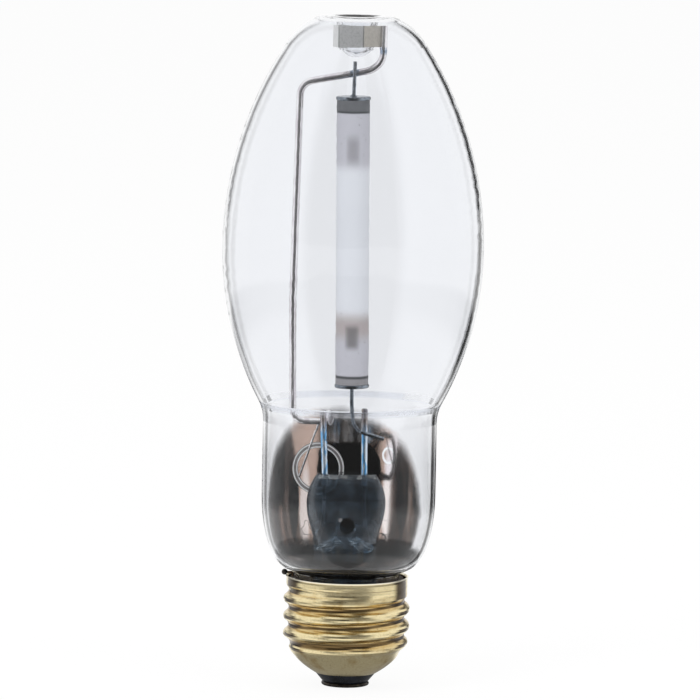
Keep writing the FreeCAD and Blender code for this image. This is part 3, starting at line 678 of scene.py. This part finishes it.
def stem_paint(tree, tint):
    """Painted highlights, a glint and painted shade on the fold, hole and edges, and a streaked foot."""
    place = millimetres(tree)
    at = axes(tree, place)
    streaks = speckle(tree, millimetres(tree, STEM_STREAK), scale=0.9)
    tone = laid(tree, tint, STEM_HAZE, patches(tree, place, scale=0.25, low=0.4, high=0.62, detail=2.0))
    # Painted highlight along the top.
    top_highlight = product(tree, fade(tree, at["Z"], *TOP_HIGHLIGHT_Z), fade(tree, streaks, low=0.4, high=0.6))
    tone = laid(tree, tone, STEM_TOP_HIGHLIGHT, top_highlight)
    # Painted shade along the fold and in the blow hole.
    tone = laid(tree, tone, BLACK, window(tree, at["Z"], *FOLD_SHADE_Z, soft=0.12))
    hole_r = length(tree, *within(tree, at, BLOW_HOLE_AT, (1, 1)))
    tone = laid(tree, tone, BLACK, fade(tree, hole_r, *BLOW_HOLE_SHADE_R))
    # Painted glint.
    glint = window(tree, at["X"], *GLINT_X, soft=0.2)
    glint = product(tree, glint, window(tree, at["Z"], *GLINT_Z, soft=0.2))
    tone = laid(tree, tone, WHITE, glint)
    foot = product(tree, fade(tree, at["Z"], *FOOT_Z), fade(tree, streaks, low=0.48, high=0.62))
    tone = laid(tree, tone, STEM_FOOT, foot)
    # Painted golden highlights low on the foot.
    gold_glints = patches(tree, place, scale=1.3, low=0.5, high=0.6, detail=2.0)
    tone = laid(tree, tone, STEM_GOLD_HIGHLIGHT, product(tree, window(tree, at["Z"], *GOLD_HIGHLIGHT_Z, soft=0.4), gold_glints))
    # Painted shade at the edges.
    return outlined(tree, tone, share=0.95)


dress("stem_glass", clear_glass("stem_glass", STEM_TINT, rough=0.0, wave_scale=0.22, wave_height=0.2,
                                ior=STEM_IOR, paint=stem_paint, clear=0.87))
dress("exhaust_tube", clear_glass("exhaust_glass", EXHAUST_TINT, rough=0.02, wave_scale=0.3,
                                  wave_height=0.05, ior=STEM_IOR))


# The posts are thick nickel-plated wires that stand in the press. They are bright, blued in streaks
# by the heat of sealing, and browned at the top where other wires are welded to them.
NICKEL_PALE = (0.72, 0.82, 0.92, 1)
NICKEL_BLUE = (0.16, 0.44, 0.76, 1)
NICKEL_DARK = (0.16, 0.13, 0.12, 1)
NICKEL_BROWN = (0.30, 0.22, 0.18, 1)
NICKEL_STREAK = (1, 1, 0.22)
WELDED_Z = (52.0, 56.0)

bright_nickel, tree = new_finish("bright_nickel")
streaky = millimetres(tree, NICKEL_STREAK)
blued = patches(tree, streaky, scale=1.6, low=0.42, high=0.58, detail=4.0)
tone = laid(tree, NICKEL_PALE, NICKEL_BLUE, blued)
tone = laid(tree, tone, NICKEL_DARK, patches(tree, streaky, scale=2.6, low=0.60, high=0.70))
height = axes(tree, millimetres(tree))["Z"]
tone = laid(tree, tone, NICKEL_BROWN, fade(tree, height, *WELDED_Z), share=0.8)
# Painted shade at the edges, where the post turns from the eye.
tone = outlined(tree, tone, share=0.85)
relief = bumped(tree, speckle(tree, streaky, scale=3.0), strength=0.3, distance=0.03)
to_surface(tree, solid(tree, tone, metallic=0.8, rough=0.16, normal=relief))
for node in ("left_lead_post", "right_lead_post"):
    dress(node, bright_nickel)


# Thin dark wires are sealed through the press under the posts, because only their metal keeps a tight
# joint with the glass. Copper leads run on from them to the shell's rim and to the centre contact.
dark_wire = plain_finish("dark_seal_wire", (0.2, 0.2, 0.21, 1), (0.1, 0.1, 0.1, 1),
                         scale=1.0, metallic=1.0, rough=0.4)
for node in ("left_seal_wire", "right_seal_wire"):
    dress(node, dark_wire)
copper_wire = plain_finish("copper_lead", (0.5, 0.3, 0.18, 1), (0.25, 0.14, 0.08, 1),
                           scale=1.0, metallic=1.0, rough=0.4)
for node in ("side_lead_wire", "centre_lead_wire"):
    dress(node, copper_wire)


# The frame wire carries current up to the far end of the arc tube and is welded to the strap round
# the dimple. It is drawn nickel-plated steel, grey with a warm cast, and blued by heat at the welds.
WIRE_PALE = (1, 0.98, 0.98, 1)
WIRE_GREY = (0.78, 0.73, 0.76, 1)
WIRE_BLUED = (0.10, 0.22, 0.36, 1)
WIRE_STREAK = (1, 1, 0.3)
STRAP_WELD_Z = (131.2, 132.6)
LEAD_WELD_X = (-1.3, 0.6)
LEAD_WELD_Z = (124.0, 129.0)

drawn_wire, tree = new_finish("drawn_wire")
drawn = millimetres(tree, WIRE_STREAK)
greyed = patches(tree, drawn, scale=0.8, low=0.35, high=0.65, detail=4.0)
tone = laid(tree, WIRE_PALE, WIRE_GREY, greyed)
at = axes(tree, millimetres(tree))
strap_weld = window(tree, at["Z"], *STRAP_WELD_Z, soft=0.5)
lead_weld = window(tree, at["X"], *LEAD_WELD_X, soft=0.3)
lead_weld = product(tree, lead_weld, window(tree, at["Z"], *LEAD_WELD_Z, soft=0.3))
tone = laid(tree, tone, WIRE_BLUED, compute(tree, "MAXIMUM", strap_weld, lead_weld), share=0.75)
# Painted shade at the edges, where the wire turns from the eye.
tone = outlined(tree, tone, share=0.5)
relief = bumped(tree, speckle(tree, drawn, scale=3.0), strength=0.15, distance=0.02)
to_surface(tree, solid(tree, tone, metallic=1.0, rough=0.2, normal=relief))
dress("frame_wire", drawn_wire)


# The dimple strap is a strip of steel folded six-sided round the glass dimple. Its three front faces are
# painted lighter and darker for how they catch the light, its folds are painted as dark lines of shade,
# and it is a little stained.
STRAP_LEFT_LIT = (0.85, 0.85, 0.84, 1)
STRAP_MIDDLE_SHADED = (0.50, 0.505, 0.505, 1)
STRAP_RIGHT_SHADED = (0.46, 0.43, 0.38, 1)
STRAP_FOLDS_X = (-3.68, 1.32)
FOLD_SHADE_HALF_WIDTH = 0.12
FACE_BLEND = 0.1

strap_steel, tree = new_finish("steel_strip")
place = millimetres(tree)
across = axes(tree, place)["X"]
tone = STRAP_LEFT_LIT
# Painted light and shade: the three front faces in lighter and darker tones.
for fold, painted_face_light in zip(STRAP_FOLDS_X, (STRAP_MIDDLE_SHADED, STRAP_RIGHT_SHADED)):
    tone = laid(tree, tone, painted_face_light, fade(tree, across, fold - FACE_BLEND, fold + FACE_BLEND))
# Painted shade along the folds.
for fold in STRAP_FOLDS_X:
    fold_shade = window(tree, across, fold - FOLD_SHADE_HALF_WIDTH, fold + FOLD_SHADE_HALF_WIDTH, soft=0.1)
    tone = laid(tree, tone, BLACK, fold_shade, share=0.7)
stains = patches(tree, place, scale=2.5, low=0.4, high=0.75, detail=4.0)
tone = laid(tree, tone, BLACK, stains, share=0.25)
to_surface(tree, solid(tree, tone, metallic=0.6, rough=0.5))
dress("dimple_strap", strap_steel)


# The getter ring is a pressed steel channel with two rims, which look at the camera and are painted bright
# as highlights; its edges are painted dark as shade. A wire stay holds it off the post, and the spent
# filling in the channel is grey and dull.
GETTER_RIM_HIGHLIGHT = (0.97, 0.97, 0.97, 1)
CHANNEL_DARK = (0.22, 0.21, 0.21, 1)
GETTER_AT = (-6.45, 44.7)
CHANNEL_R = (4.62, 5.12)
OUTER_EDGE_R = (5.34, 5.42)
INNER_EDGE_R = (4.40, 4.32)

getter_steel, tree = new_finish("getter_steel")
at = axes(tree, millimetres(tree))
ring_r = length(tree, *within(tree, at, GETTER_AT, (1, 1)))
# Painted highlights on the rims, and darker in the channel between them.
tone = laid(tree, GETTER_RIM_HIGHLIGHT, CHANNEL_DARK, window(tree, ring_r, *CHANNEL_R, soft=0.06))
# Painted shade along the outer and inner edges.
edge_shade = compute(tree, "ADD", fade(tree, ring_r, *OUTER_EDGE_R), fade(tree, ring_r, *INNER_EDGE_R))
tone = laid(tree, tone, BLACK, edge_shade, share=0.85)
to_surface(tree, solid(tree, tone, metallic=0.5, rough=0.3))
dress("getter_ring", getter_steel)
# The stay's edges are painted dark as shade where they turn from the eye.
dress("getter_wire", plain_finish("getter_stay", (0.9, 0.89, 0.89, 1), (0.65, 0.62, 0.62, 1),
                                  scale=1.0, metallic=1.0, rough=0.15, rim=0.8))
dress("getter_fill", plain_finish("spent_getter", (0.12, 0.11, 0.1, 1), (0.05, 0.045, 0.04, 1),
                                  scale=2.0, metallic=0.2, rough=0.8, bump=0.5, depth=0.1))


# The arc tube is sintered alumina, as milky as frosted glass. The electrodes' coils are painted on it as
# soft shades, which keep to the middle of the tube from any side, and it is greyed where the electrodes
# have sputtered on it and browned above the lower one.
MILK = (0.66, 0.68, 0.72, 1)
MILK_GREY = (0.475, 0.475, 0.52, 1)
MILK_BROWN = (0.37, 0.31, 0.285, 1)
MILK_IOR = 1.3
COIL_SHADE = (0.15, 0.145, 0.15, 1)
PLUG_UPPER = (0.125, 0.13, 0.14, 1)
PLUG_LOWER = (0.26, 0.255, 0.27, 1)
PLUG_LINE = (0.06, 0.065, 0.07, 1)
SPECK = (0.10, 0.09, 0.09, 1)
UPPER_GREY_Z = (106.5, 109.5)
LOWER_GREY_Z = (78.5, 75.5)
BROWN_Z = (73.0, 77.5)
UPPER_PLUG_Z = (119.0, 119.4)
LOWER_PLUG_Z = (65.3, 64.8)
PLUG_LINES_Z = ((119.1, 119.5), (64.5, 65.0))
UPPER_SPECKS_Z = (100.0, 112.0)
LOWER_SPECKS_Z = (82.0, 76.0)
# Each painted coil shade's height, the softness of its ends, how far round the front it shows, and its
# share
COILS = (
    ((109.0, 114.2), 1.5, 0.13, 0.5),
    ((70.8, 75.4), 0.9, 0.15, 0.85),
)

alumina, tree = new_finish("sintered_alumina")
place = millimetres(tree)
height = axes(tree, place)["Z"]
tone = laid(tree, MILK, MILK_GREY, fade(tree, height, *UPPER_GREY_Z))
tone = laid(tree, tone, MILK_GREY, fade(tree, height, *LOWER_GREY_Z))
tone = laid(tree, tone, MILK_BROWN, window(tree, height, *BROWN_Z, soft=1.8), share=0.65)
# Painted shade where the coils lie behind the milky wall.
for coil_z, soft, spread, share in COILS:
    painted_coil_shade = product(tree, window(tree, height, *coil_z, soft), fade(tree, facing(tree), spread, 0.0))
    tone = laid(tree, tone, COIL_SHADE, painted_coil_shade, share)
tone = laid(tree, tone, PLUG_UPPER, fade(tree, height, *UPPER_PLUG_Z))
tone = laid(tree, tone, PLUG_LOWER, fade(tree, height, *LOWER_PLUG_Z))
for line_z in PLUG_LINES_Z:
    tone = laid(tree, tone, PLUG_LINE, window(tree, height, *line_z, soft=0.2))
upper_specks = fade(tree, height, *UPPER_SPECKS_Z)
near_ends = compute(tree, "MAXIMUM", upper_specks, fade(tree, height, *LOWER_SPECKS_Z))
specks = product(tree, patches(tree, place, scale=3.0, low=0.68, high=0.74, detail=2.0), near_ends)
tone = laid(tree, tone, SPECK, specks)
to_surface(tree, solid(tree, tone, metallic=0.0, rough=0.45, IOR=MILK_IOR))
dress("arc_tube", alumina)


# Plugs of the same alumina close the tube. Thin niobium discs cover them, and niobium leads pass
# through the discs to carry the tube on the frame wire above and on the right post below.
plug_white = plain_finish("alumina_plug", (0.62, 0.62, 0.65, 1), (0.5, 0.5, 0.53, 1),
                          scale=1.0, metallic=0.0, rough=0.6)
for node in ("upper_end_plug", "lower_end_plug"):
    dress(node, plug_white)
niobium = plain_finish("niobium", (0.34, 0.38, 0.42, 1), (0.14, 0.16, 0.19, 1),
                       scale=1.2, metallic=1.0, rough=0.22)
for node in ("upper_end_cap", "lower_end_cap", "upper_niobium_lead", "lower_niobium_lead"):
    dress(node, niobium)


# The electrodes are tungsten rods with a coil of tungsten wire on each, and the dose of sodium amalgam
# lies on the lower plug as a bright drop.
tungsten = plain_finish("tungsten", (0.16, 0.16, 0.17, 1), (0.08, 0.08, 0.085, 1),
                        scale=1.5, metallic=1.0, rough=0.4)
for node in ("upper_electrode_rod", "lower_electrode_rod", "upper_electrode_coil", "lower_electrode_coil"):
    dress(node, tungsten)
dress("amalgam_dose", plain_finish("amalgam", (0.5, 0.5, 0.5, 1), (0.2, 0.2, 0.2, 1),
                                   scale=2.0, metallic=1.0, rough=0.25))
